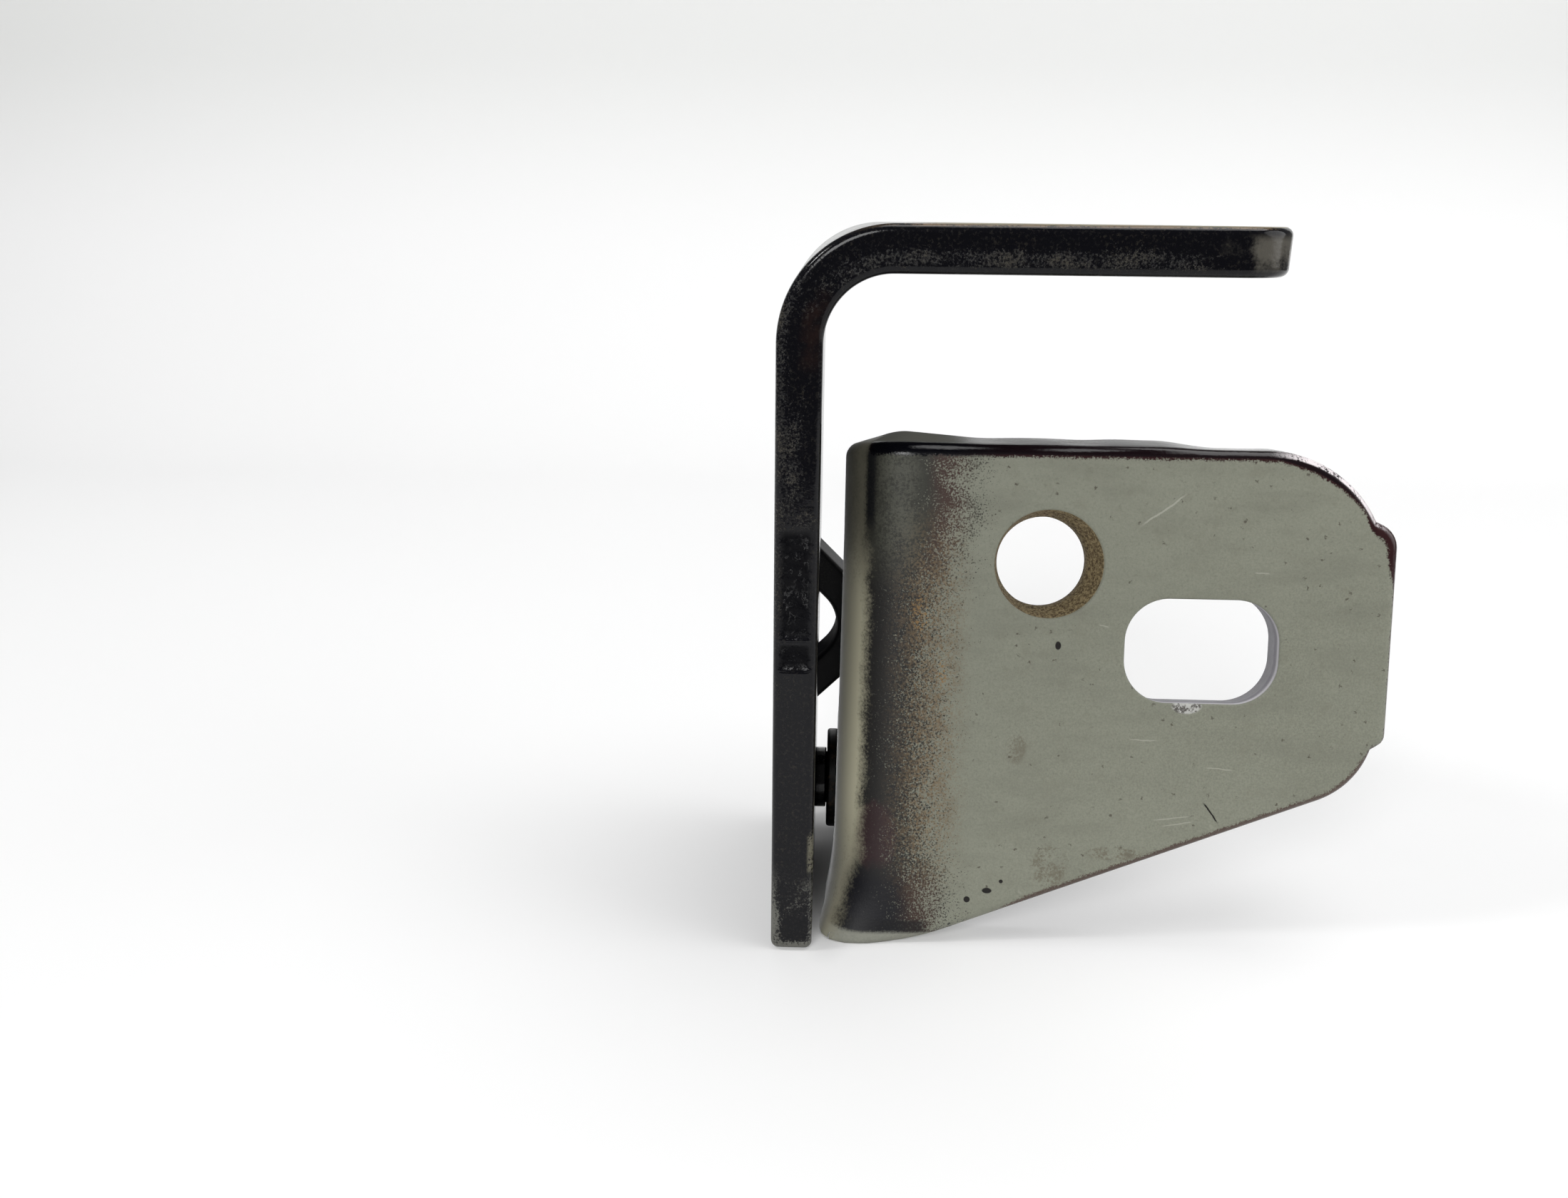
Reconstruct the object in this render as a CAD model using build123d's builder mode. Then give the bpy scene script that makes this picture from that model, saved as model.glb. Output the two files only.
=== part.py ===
"""Car door hinge: two pressed steel leaves turning on one flush riveted pin.

The origin is the middle of the arm leaf's two bolt holes, on its mounting face.
+Z points out of that face, +X runs along the pin and +Y points away from the plate leaf's
mounting face. All sizes are in millimetres.
"""
from build123d import *
from math import atan, cos, degrees, radians, sin
import os

os.makedirs("parts", exist_ok=True)

# Both leaves are pressed from the same sheet
sheet = 5.0
edge_round = 0.9

# Arm leaf: a long web with a mounting flange along its top
arm_height = 85.4
arm_length = 53.5
arm_depth = 42.0
arm_tip_depth = 17.0
arm_shoulder = 25.0
arm_bend_inside = 7.2
arm_corner_round = 6.0
arm_shoulder_round = 14.0
bolt_hole_radius = 5.3
bolt_spacing = 19.0
first_bolt_from_web = 22.0
bolts_from_front = 14.0
heel_length = 35.0
heel_round = 12.0
toe_round = 1.2
back_edge_height = 60.0
back_edge_round = 25.0

# Where the web's outer face, its front edge and its foot lie from the origin
web_x = -(first_bolt_from_web + bolt_spacing / 2)
front_y = -bolts_from_front
foot_z = -arm_height

# Stop loop: a strip pressed out of the web as a V
loop_from_front = 22.0
loop_width = 6.0
loop_height_mid = 34.9
loop_reach = 10.1
loop_opening = 9.5
loop_nose_round = 6.5
loop_inside_round = 5.0

# Pivot: pin, bushes and washer, measured along the pin from the web's outer face
pivot_from_front = 24.0
pivot_from_foot = 12.0
pin_radius = 3.5
rivet_radius = 5.0
collar_radius = 4.1
collar_thickness = 1.4
bush_bore_radius = 3.55
bush_radius = 4.5
flange_radius = 6.7
bush_flange = 1.5
bush_sleeve = 2.4
face_clearance = 0.1
washer_thickness = 1.5
pin_head_radius = 5.5
pin_head_height = 2.5
pin_head_bevel = 1.2

# Plate leaf: a mounting plate that leans back, bent into an ear beside the web
plate_lean = 12.0
plate_set_back = 2.3
plate_rise = 0.5
web_gap = 3.0
plate_end = 71.5
plate_top = 61.6
plate_foot = 0.1
plate_bend_inside = 3.0
foot_length = 18.1
foot_blend = 40.0
slope_end = 21.1
lower_corner_round = 9.0
upper_corner_round = 13.5
land_proud = 2.1
land_root = 8.0
land_low = 25.6
land_high = 52.4
land_round = 1.9
lip_depth = 9.5
lip_round = 2.0
ear_depth = 29.8
ear_top = 26.8
foot_relief = 2.5
ear_end_low = 6.5
ear_round = 10.5
ear_neck_round = 5.0

# Bolt openings in the plate, measured from the web's outer face and the plate's foot line
round_hole_x = 32.1
round_hole_y = 47.2
round_hole_radius = 5.5
round_hole_flare = 1.0
flare_depth = 3.0
slot_x = 51.05
slot_y = 36.95
slot_length = 18.3
slot_width = 12.6
slot_corner = 5.2

pivot_y = front_y + pivot_from_front
pivot_z = foot_z + pivot_from_foot
pin_line = Plane(origin=(web_x, pivot_y, pivot_z), x_dir=(1, 0, 0), z_dir=(0, -1, 0))
pin_axis = Axis((web_x, pivot_y, pivot_z), (1, 0, 0))

# The plate's own directions: up its face, and straight back through it
lean = radians(plate_lean)
plate_up = Vector(0, sin(lean), cos(lean))
plate_back = Vector(0, cos(lean), -sin(lean))
plate_corner = Vector(web_x, front_y + plate_set_back, foot_z + plate_rise)
plate_face = Plane(origin=plate_corner, x_dir=(1, 0, 0), z_dir=-plate_back)
plate_section = Plane(origin=plate_corner, x_dir=(1, 0, 0), z_dir=plate_up)

# Arm leaf: an L section, trimmed to its plan and side outlines
with BuildPart() as arm_leaf:
    with BuildSketch(Plane.XZ.offset(-front_y)) as arm_section:
        with BuildLine():
            Polyline(
                (web_x, foot_z),
                (web_x + sheet, foot_z),
                (web_x + sheet, -sheet),
                (web_x + arm_length, -sheet),
                (web_x + arm_length, 0),
                (web_x, 0),
                close=True,
            )
        make_face()
        inside_corner = arm_section.vertices().sort_by_distance((web_x + sheet, -sheet, 0))[0]
        fillet(inside_corner, radius=arm_bend_inside)
        outside_corner = arm_section.vertices().sort_by_distance((web_x, 0, 0))[0]
        fillet(outside_corner, radius=arm_bend_inside + sheet)
    extrude(amount=-arm_depth)

    # Mounting flange in plan: straight in front, cut back behind towards its tip
    with BuildSketch() as flange_plan:
        tip_x = web_x + arm_length
        back_y = front_y + arm_depth
        with BuildLine():
            Polyline(
                (web_x, front_y),
                (tip_x, front_y),
                (tip_x, front_y + arm_tip_depth),
                (web_x + arm_shoulder, back_y),
                (web_x, back_y),
                close=True,
            )
        make_face()
        fillet(flange_plan.vertices().group_by(Axis.X)[-1], radius=arm_corner_round)
        shoulder = flange_plan.vertices().sort_by_distance((web_x + arm_shoulder, back_y, 0))[0]
        fillet(shoulder, radius=arm_shoulder_round)
    extrude(amount=-arm_height, mode=Mode.INTERSECT)

    # Thick paint rounds the sheared edge, along the front and on round the flange
    front_edges = arm_leaf.faces().sort_by(Axis.Y)[0].edges().sort_by(Axis.Z)[1:]
    fillet(front_edges, radius=edge_round)

    # Web from the side: straight in front, narrowing behind down to the eye round the pin
    with BuildSketch(Plane.YZ.offset(web_x)) as web_side:
        with BuildLine():
            Polyline(
                (front_y, foot_z),
                (front_y + heel_length, foot_z),
                (front_y + arm_depth, foot_z + back_edge_height),
                (front_y + arm_depth, 0),
                (front_y, 0),
                close=True,
            )
        make_face()
        heel = web_side.vertices().sort_by_distance((front_y + heel_length, foot_z, 0))[0]
        fillet(heel, radius=heel_round)
        toe = web_side.vertices().sort_by_distance((front_y, foot_z, 0))[0]
        fillet(toe, radius=toe_round)
        back_edge = (front_y + arm_depth, foot_z + back_edge_height, 0)
        fillet(web_side.vertices().sort_by_distance(back_edge)[0], radius=back_edge_round)
    extrude(amount=arm_length, mode=Mode.INTERSECT)

    # Two bolt holes through the mounting flange
    with GridLocations(bolt_spacing, 0, 2, 1):
        Hole(radius=bolt_hole_radius, depth=2 * sheet)

    # Pin hole, countersunk outside for the flush rivet
    with BuildSketch(Plane.YZ.offset(web_x)):
        with Locations((pivot_y, pivot_z)):
            Circle(pin_radius)
    extrude(amount=sheet, mode=Mode.SUBTRACT)
    with BuildSketch(Plane.YZ.offset(web_x)):
        with Locations((pivot_y, pivot_z)):
            Circle(rivet_radius)
    extrude(amount=rivet_radius - pin_radius, taper=45, mode=Mode.SUBTRACT)

    # Stop loop: a window in the web, and the strip pushed out of it
    loop_y = front_y + loop_from_front
    loop_z = foot_z + loop_height_mid
    with BuildSketch(Plane.YZ.offset(web_x)):
        with Locations((loop_y + loop_width / 2, loop_z)):
            Rectangle(loop_width, 2 * loop_reach)
    extrude(amount=sheet, mode=Mode.SUBTRACT)
    with BuildSketch(Plane.XZ.offset(-loop_y)) as loop_strip:
        with BuildLine():
            Polyline(
                (web_x, loop_z + loop_reach),
                (web_x + sheet, loop_z + loop_reach),
                (web_x + sheet + loop_reach, loop_z),
                (web_x + sheet, loop_z - loop_reach),
                (web_x, loop_z - loop_reach),
                (web_x, loop_z - loop_opening),
                (web_x + loop_opening, loop_z),
                (web_x, loop_z + loop_opening),
                close=True,
            )
        make_face()
        nose = loop_strip.vertices().sort_by_distance((web_x + sheet + loop_reach, loop_z, 0))[0]
        fillet(nose, radius=loop_nose_round)
        inside = loop_strip.vertices().sort_by_distance((web_x + loop_opening, loop_z, 0))[0]
        fillet(inside, radius=loop_inside_round)
    extrude(amount=-loop_width)
arm_leaf.part.label = "arm_leaf"
export_step(arm_leaf.part, "parts/arm_leaf.step")

# Plate leaf: an L section along the plate's height, trimmed to the face and ear outlines
ear_x = sheet + web_gap
with BuildPart() as plate_leaf:
    with BuildSketch(plate_section) as bent_section:
        with BuildLine():
            Polyline(
                (plate_end + land_proud, 0),
                (ear_x, 0),
                (ear_x, ear_depth),
                (ear_x + sheet, ear_depth),
                (ear_x + sheet, sheet),
                (plate_end + land_proud, sheet),
                close=True,
            )
        make_face()
        inside_corner = bent_section.vertices().sort_by_distance((ear_x + sheet, sheet, 0))[0]
        fillet(inside_corner, radius=plate_bend_inside)
        outside_corner = bent_section.vertices().sort_by_distance((ear_x, 0, 0))[0]
        fillet(outside_corner, radius=plate_bend_inside + sheet)
    extrude(amount=plate_top)

    # Face outline: level top, rounded end with a sheared land, and a lower edge that slopes up
    with BuildSketch(plate_face) as face_outline:
        with BuildLine():
            Polyline(
                (ear_x, plate_foot),
                (foot_length, plate_foot),
                (plate_end, slope_end),
                (plate_end, plate_top),
                (ear_x, plate_top),
                close=True,
            )
        make_face()
        face_corners = (
            (foot_length, plate_foot, foot_blend),
            (plate_end, slope_end, lower_corner_round),
            (plate_end, plate_top, upper_corner_round),
        )
        for corner_x, corner_y, corner_round in face_corners:
            corner = face_outline.vertices().sort_by_distance((corner_x, corner_y, 0))[0]
            fillet(corner, radius=corner_round)
        with BuildLine():
            Polyline(
                (plate_end - land_root, land_low),
                (plate_end + land_proud, land_low),
                (plate_end + land_proud, land_high),
                (plate_end - land_root, land_high),
                close=True,
            )
        make_face()
        fillet(face_outline.vertices().group_by(Axis.X)[-1], radius=land_round)
    extrude(amount=-ear_depth, mode=Mode.INTERSECT)

    # The sheared rim of the face is rounded by its thick paint
    face_top = plate_leaf.faces().filter_by(plate_face).sort_by(Axis(plate_corner, plate_back))[0]
    bend_line = face_top.edges().filter_by(Axis(plate_corner, plate_up)).sort_by(Axis.X)[0]
    rim_edges = face_top.edges().sort_by_distance(bend_line.center())[1:]
    fillet(rim_edges, radius=edge_round)

    # Ear outline seen along the pin: a short lip above, and the eye round the bushes below
    ear_side = Plane(origin=plate_corner + Vector(ear_x, 0, 0), x_dir=plate_back, z_dir=(1, 0, 0))
    with BuildSketch(ear_side) as ear_outline:
        with BuildLine():
            Polyline(
                (0, plate_foot),
                (foot_relief, plate_foot),
                (ear_depth, ear_end_low),
                (ear_depth, ear_top),
                (lip_depth, ear_top),
                (lip_depth, plate_top),
                (0, plate_top),
                close=True,
            )
        make_face()
        fillet(ear_outline.vertices().group_by(Axis.X)[-1], radius=ear_round)
        fillet(ear_outline.vertices().sort_by_distance((lip_depth, ear_top, 0))[0], radius=ear_neck_round)
        fillet(ear_outline.vertices().sort_by_distance((lip_depth, plate_top, 0))[0], radius=lip_round)
    extrude(amount=plate_end + land_proud, mode=Mode.INTERSECT)

    # Round bolt hole, torn wider at the face by the punch, and the bolt slot beside it
    with BuildSketch(plate_face):
        with Locations((round_hole_x, round_hole_y)):
            Circle(round_hole_radius)
        with Locations((slot_x, slot_y)):
            RectangleRounded(slot_length, slot_width, slot_corner)
    extrude(amount=-sheet, mode=Mode.SUBTRACT)
    with BuildSketch(plate_face):
        with Locations((round_hole_x, round_hole_y)):
            Circle(round_hole_radius + round_hole_flare)
    extrude(amount=-flare_depth, taper=degrees(atan(round_hole_flare / flare_depth)), mode=Mode.SUBTRACT)

    # Eye for the bushes
    with BuildSketch(Plane.YZ.offset(web_x + ear_x)):
        with Locations((pivot_y, pivot_z)):
            Circle(bush_radius)
    extrude(amount=sheet, mode=Mode.SUBTRACT)
plate_leaf.part.label = "plate_leaf"
export_step(plate_leaf.part, "parts/plate_leaf.step")

# Hinge pin: peened flush into the web, with a collar beside it and a riveted head behind
head_start = ear_x + sheet + bush_flange + face_clearance + washer_thickness
with BuildPart() as hinge_pin:
    with BuildSketch(pin_line) as pin_profile:
        with BuildLine():
            Polyline(
                (0, 0),
                (0, rivet_radius),
                (rivet_radius - pin_radius, pin_radius),
                (sheet, pin_radius),
                (sheet, collar_radius),
                (sheet + collar_thickness, collar_radius),
                (sheet + collar_thickness, pin_radius),
                (head_start, pin_radius),
                (head_start, pin_head_radius),
                (head_start + pin_head_height, pin_head_radius),
                (head_start + pin_head_height, 0),
                close=True,
            )
        make_face()
        head_end = head_start + pin_head_height
        head_rim = pin_profile.vertices().sort_by_distance((head_end, pin_head_radius, 0))[0]
        chamfer(head_rim, length=pin_head_bevel)
    revolve(axis=pin_axis)
hinge_pin.part.label = "hinge_pin"
export_step(hinge_pin.part, "parts/hinge_pin.step")


def flanged_bush(name, flange_x, outward):
    """Half of the bearing: a sleeve in the eye and a flange lying on the ear's face."""
    with BuildPart() as bush:
        with BuildSketch(pin_line):
            with BuildLine():
                Polyline(
                    (flange_x + outward * bush_flange, bush_bore_radius),
                    (flange_x + outward * bush_flange, flange_radius),
                    (flange_x, flange_radius),
                    (flange_x, bush_radius),
                    (flange_x - outward * bush_sleeve, bush_radius),
                    (flange_x - outward * bush_sleeve, bush_bore_radius),
                    close=True,
                )
            make_face()
        revolve(axis=pin_axis)
    bush.part.label = name
    export_step(bush.part, f"parts/{name}.step")


flanged_bush("near_bush", ear_x, -1)
flanged_bush("far_bush", ear_x + sheet, 1)

# Washer trapped under the riveted head
with BuildPart() as pin_washer:
    with BuildSketch(Plane.YZ.offset(web_x + head_start - washer_thickness)):
        with Locations((pivot_y, pivot_z)):
            Circle(flange_radius)
            Circle(pin_radius, mode=Mode.SUBTRACT)
    extrude(amount=washer_thickness)
pin_washer.part.label = "pin_washer"
export_step(pin_washer.part, "parts/pin_washer.step")
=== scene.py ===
import bmesh
import bpy
import numpy as np
from mathutils import Matrix, Vector
from mathutils.geometry import delaunay_2d_cdt


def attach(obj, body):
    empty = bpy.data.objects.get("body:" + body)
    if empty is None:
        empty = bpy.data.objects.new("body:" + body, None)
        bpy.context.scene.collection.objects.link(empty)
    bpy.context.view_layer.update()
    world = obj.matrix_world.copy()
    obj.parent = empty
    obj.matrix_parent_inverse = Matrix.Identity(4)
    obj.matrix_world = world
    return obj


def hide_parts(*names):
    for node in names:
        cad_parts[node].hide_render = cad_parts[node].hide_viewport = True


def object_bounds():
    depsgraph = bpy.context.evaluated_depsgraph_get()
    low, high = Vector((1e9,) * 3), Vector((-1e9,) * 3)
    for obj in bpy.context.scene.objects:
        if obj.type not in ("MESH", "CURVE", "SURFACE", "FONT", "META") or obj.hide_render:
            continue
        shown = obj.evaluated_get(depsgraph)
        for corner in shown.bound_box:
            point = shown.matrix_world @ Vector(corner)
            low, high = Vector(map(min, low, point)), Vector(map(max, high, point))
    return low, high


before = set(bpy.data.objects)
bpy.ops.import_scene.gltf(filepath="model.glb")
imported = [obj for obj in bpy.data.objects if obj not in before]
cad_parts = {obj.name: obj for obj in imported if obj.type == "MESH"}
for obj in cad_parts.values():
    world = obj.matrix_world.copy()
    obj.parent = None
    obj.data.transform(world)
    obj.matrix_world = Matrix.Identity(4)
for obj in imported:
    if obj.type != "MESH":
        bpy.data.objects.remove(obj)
cad_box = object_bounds()


# Arm leaf: 5 mm steel sheet, blanked, bent over into a mounting flange and painted thick gloss black.
# A V-shaped strip is pressed out of its web as a stop. Its sheared front edge faces the viewer,
# partly burnished and partly torn, dusty along its outer side and scuffed at the foot.

MM = 0.001
SHEET = 5.0
WEB_X, FRONT_Y, FOOT_Z = np.round(np.array(cad_box[0]) / MM, 1)
ARM_LENGTH, ARM_DEPTH = 53.5, 42.0
WEB_FOOT_DEPTH, FLANGE_END_DEPTH = 35.0, 17.0
WEB_SHOULDER, FLANGE_SHOULDER = 60.0, 25.0
ARM_BEND = 7.2
ARM_OUTER = ARM_BEND + SHEET
ARM_MIDDLE = ARM_BEND + SHEET / 2
ARM_BEND_START = -FOOT_Z - ARM_OUTER
ARM_BEND_END = ARM_BEND_START + ARM_MIDDLE * np.pi / 2
ARM_END = ARM_BEND_END + ARM_LENGTH - ARM_OUTER
BOLT_SPREAD, BOLT_RADIUS = 9.5, 5.3
PIVOT_Y, PIVOT_Z = FRONT_Y + 24.0, FOOT_Z + 12.0
PIN_RADIUS, PEEN_RADIUS = 3.5, 5.0
PEEN_STEP = PEEN_RADIUS - PIN_RADIUS
LOOP_Y, LOOP_Z = FRONT_Y + 25.0, FOOT_Z + 34.9
LOOP_WIDTH, LOOP_REACH, LOOP_OPENING, LOOP_CORNER = 6.0, 10.4, 9.4, 0.6


def rounded_outline(corners, step):
    """Closed outline through (s, v, radius) corners. Each corner is cut back along both its sides by radius
    times the tangent of half its turn, and the tangent arc bridges the cut. Points lie a step apart."""
    points = np.array([corner[:2] for corner in corners], float)
    radii = np.array([corner[2] for corner in corners], float)
    ahead = np.roll(points, -1, axis=0) - points
    ahead /= np.linalg.norm(ahead, axis=1, keepdims=True)
    behind = np.roll(ahead, 1, axis=0)
    turn = np.arctan2(
        behind[:, 0] * ahead[:, 1] - behind[:, 1] * ahead[:, 0],
        (behind * ahead).sum(1),
    )
    cut = (radii * np.tan(np.abs(turn) / 2))[:, None]
    starts = points - behind * cut
    ends = points + ahead * cut
    end_streaks = []
    for i, bend in enumerate(turn):
        across = np.array([-behind[i, 1], behind[i, 0]]) * np.sign(bend) * radii[i]
        count = max(6, int(abs(bend) * radii[i] / step))
        angle = np.linspace(0, bend, count + 1)[:, None]
        along = behind[i] * radii[i] * np.sin(np.abs(angle))
        end_streaks.append(starts[i] + across - across * np.cos(angle) + along)
        gap = starts[(i + 1) % len(points)] - ends[i]
        count = max(2, int(np.linalg.norm(gap) / step))
        end_streaks.append(ends[i] + gap * np.linspace(0, 1, count + 1)[1:-1, None])
    return np.vstack(end_streaks)


def oblong(s, v, length, width, corner, step):
    """Rounded rectangle about a place, clockwise, so that its inward side is the sheet."""
    sides = ((-1, -1), (-1, 1), (1, 1), (1, -1))
    return rounded_outline([(s + a * length / 2, v + b * width / 2, corner) for a, b in sides], step)


def ring(s, v, radius, count=72):
    """Circle round a place, clockwise, so that its inward side is the sheet."""
    angle = -np.linspace(0, 2 * np.pi, count, endpoint=False)
    return np.stack([s + radius * np.cos(angle), v + radius * np.sin(angle)], 1)


arm_outline = rounded_outline(
    [
        (ARM_END, FRONT_Y, 6.0),
        (ARM_END, FRONT_Y + FLANGE_END_DEPTH, 6.0),
        (ARM_BEND_END + FLANGE_SHOULDER - ARM_OUTER, FRONT_Y + ARM_DEPTH, 14.0),
        (WEB_SHOULDER, FRONT_Y + ARM_DEPTH, 25.0),
        (0.0, FRONT_Y + WEB_FOOT_DEPTH, 12.0),
        (0.0, FRONT_Y, 1.2),
    ],
    0.3,
)
loop_s = LOOP_Z - FOOT_Z
loop_window = oblong(loop_s, LOOP_Y, 2 * LOOP_REACH, LOOP_WIDTH, LOOP_CORNER, 0.5)
bolt_s = ARM_BEND_END - WEB_X - ARM_OUTER


def rim_profile(front_round, back_round, lean=0.0, wall_rows=6):
    """Section of a sheared rim as (inset, depth) pairs: a quarter circle off the front face, the wall, whose
    back stands out by lean, and a quarter circle on to the back face, with a short flat run at both ends."""
    quarter = np.linspace(0, np.pi / 2, 7)
    front = np.stack([front_round * (1 - np.sin(quarter)), front_round * (1 - np.cos(quarter))], 1)
    back = np.stack([back_round * (1 - np.cos(quarter)), SHEET - back_round * (1 - np.sin(quarter))], 1)
    back[:, 0] -= lean
    wall = front[-1] + (back[0] - front[-1]) * np.linspace(0, 1, wall_rows)[1:-1, None]
    section = np.vstack([front, wall, back])
    flat_run = 0.35
    first = [section[0, 0] + flat_run, 0.0]
    last = [section[-1, 0] + flat_run, SHEET]
    return np.vstack([first, section, last])


def carried_round(outline, profile):
    """The profile carried round the outline: each pair is laid off along the inward normal and the depth."""
    tangent = np.roll(outline, -1, axis=0) - np.roll(outline, 1, axis=0)
    inward = np.stack([-tangent[:, 1], tangent[:, 0]], 1)
    inward /= np.linalg.norm(inward, axis=1, keepdims=True)
    flat = outline[:, None, :] + profile[None, :, :1] * inward[:, None, :]
    depth = np.broadcast_to(profile[None, :, 1:], flat.shape[:2] + (1,))
    return np.concatenate([flat, depth], 2)


def inside(points, loops):
    """Even-odd rule: a point is inside where a line to its right crosses the loops an odd count of times."""
    crossings = np.zeros(len(points), int)
    s, v = points[:, :1], points[:, 1:]
    for loop in loops:
        a, b = loop, np.roll(loop, -1, axis=0)
        straddles = (a[:, 1] > v) != (b[:, 1] > v)
        rise = np.where(a[:, 1] == b[:, 1], 1.0, b[:, 1] - a[:, 1])
        meets = a[:, 0] + (v - a[:, 1]) * (b[:, 0] - a[:, 0]) / rise
        crossings += (straddles & (s < meets)).sum(1)
    return crossings % 2 == 1


def nearest(points, loops):
    """Distance from each point to the closest point of the loops."""
    marks = np.vstack(loops)
    parts = np.array_split(points, 40)
    return np.concatenate([np.sqrt(((part[:, None, :] - marks[None]) ** 2).sum(2)).min(1) for part in parts])


def filled_face(loops, spacing):
    """Triangles between the loops, over a staggered grid of points that keeps clear of the loops."""
    low, high = loops[0].min(0), loops[0].max(0)
    s, v = np.meshgrid(np.arange(low[0], high[0], spacing[0]), np.arange(low[1], high[1], spacing[1]))
    s = s + (np.arange(len(s)) % 2)[:, None] * spacing[0] / 2
    grid = np.stack([s.ravel(), v.ravel()], 1)
    grid = grid[inside(grid, loops)]
    grid = grid[nearest(grid, loops) > 0.6 * max(spacing)]
    starts = np.cumsum([0] + [len(loop) for loop in loops])
    turns = [np.arange(len(loop)) for loop in loops]
    edges = [np.stack([turn, np.roll(turn, -1)], 1) + start for turn, start in zip(turns, starts)]
    points = np.vstack(loops + [grid])
    made = delaunay_2d_cdt(points.tolist(), np.vstack(edges).tolist(), [], 0, 1e-6)
    origin = np.array([origins[0] if origins else -1 for origins in made[3]])
    filled = np.where(origin[:, None] < 0, np.array(made[0]), points[origin])
    faces = np.array(made[2])
    return filled, faces[inside(filled[faces].mean(1), loops)]


def quads(rows, columns, closed_rows=True, closed_columns=False):
    """Vertex numbers of the four-sided faces of a rows by columns grid, joined end to end where closed."""
    i = np.arange(rows if closed_rows else rows - 1)[:, None]
    k = np.arange(columns if closed_columns else columns - 1)[None, :]
    i2, k2 = (i + 1) % rows, (k + 1) % columns
    corners = [i * columns + k, i2 * columns + k, i2 * columns + k2, i * columns + k2]
    return np.stack(corners, 2).reshape(-1, 4)


def pressed_sheet(rims, spacing):
    """A flat blank as (s, v, depth) points and faces. Rims are (outline, profile) pairs, the outer first.
    Each profile is carried round its outline, and both faces are filled between the bands that it makes."""
    bands = [carried_round(outline, profile) for outline, profile in rims]
    points, faces, count = [], [], 0
    for band in bands:
        rows, columns = band.shape[:2]
        points.append(band.reshape(-1, 3))
        faces += list(quads(rows, columns) + count)
        count += rows * columns
    for side, depth in ((0, 0.0), (-1, SHEET)):
        flat, triangles = filled_face([band[:, side, :2] for band in bands], spacing)
        points.append(np.column_stack([flat, np.full(len(flat), depth)]))
        faces += list(triangles + count)
        count += len(flat)
    return np.vstack(points), faces


# The web is countersunk for the pin, then bored to it
peened_rim = np.array(
    [
        (0.5, 0.0),
        (0.0, 0.0),
        (-PEEN_STEP / 2, PEEN_STEP / 2),
        (-PEEN_STEP, PEEN_STEP),
        (-PEEN_STEP, 3.2),
        (-PEEN_STEP, SHEET),
        (0.0, SHEET),
    ]
)
bolt_rim = rim_profile(0.5, 0.4)
arm_rims = [(arm_outline, rim_profile(0.9, 0.9, wall_rows=18))]
arm_rims += [(ring(bolt_s + side * BOLT_SPREAD, 0.0, BOLT_RADIUS), bolt_rim) for side in (-1, 1)]
arm_rims += [(ring(PIVOT_Z - FOOT_Z, PIVOT_Y, PEEN_RADIUS), peened_rim)]
arm_rims += [(loop_window, rim_profile(0.4, 0.4))]
arm_blank, arm_faces = pressed_sheet(arm_rims, (1.1, 1.6))


def window(values, low, high, soft):
    """1 between low and high and 0 outside, with smooth steps that are soft wide."""
    rise = np.clip((values - low) / soft + 0.5, 0, 1)
    fall = np.clip((high - values) / soft + 0.5, 0, 1)
    return rise**2 * (3 - 2 * rise) * fall**2 * (3 - 2 * fall)


def ripple(points, wavelength, seed):
    """Gentle unevenness from -1 to 1: the mean of nine sine waves of about that wavelength, each in a random
    direction."""
    draw = np.random.default_rng(seed)
    directions = draw.normal(size=(points.shape[-1], 9))
    directions /= np.linalg.norm(directions, axis=0)
    waves = 2 * np.pi / (wavelength * draw.uniform(0.6, 1.5, 9))
    return np.sin(points @ (directions * waves) + draw.uniform(0, 2 * np.pi, 9)).mean(-1)


def arm_bent(points):
    """Blank to leaf: s runs up the web, round the bend's middle layer and out along the flange. Depth goes in
    from the outer face, so a point in the bend turns about its centre at outer radius less depth."""
    s, y, depth = points.T
    turn = np.clip((s - ARM_BEND_START) / ARM_MIDDLE, 0, np.pi / 2)
    radius = ARM_OUTER - depth
    x = WEB_X + ARM_OUTER - radius * np.cos(turn) + np.maximum(s - ARM_BEND_END, 0)
    z = -ARM_OUTER + radius * np.sin(turn) + np.minimum(s - ARM_BEND_START, 0)
    return np.stack([x, y, z], 1)


# The shears tore the front edge in two patches, and left it slightly wavy everywhere
arm_s, arm_v, arm_depth = arm_blank.T
on_edge = window(arm_v - FRONT_Y, -1.0, 1.0, 0.8)
torn = np.maximum(
    window(arm_s, 40.8, 52.9, 1.2) * window(arm_depth, 0.9, 4.0, 0.8),
    window(arm_s, 37.0, 39.7, 0.9) * window(arm_depth, 0.8, 4.1, 0.8),
)
torn_relief = 0.55 + 0.3 * ripple(arm_blank, 2.4, 3) + 0.3 * ripple(arm_blank, 6.0, 4)
sheared_relief = 0.05 + 0.05 * ripple(arm_blank, 7.0, 5)
arm_points = arm_bent(arm_blank + np.outer(on_edge * (torn * torn_relief + sheared_relief), (0, 1, 0)))

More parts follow.
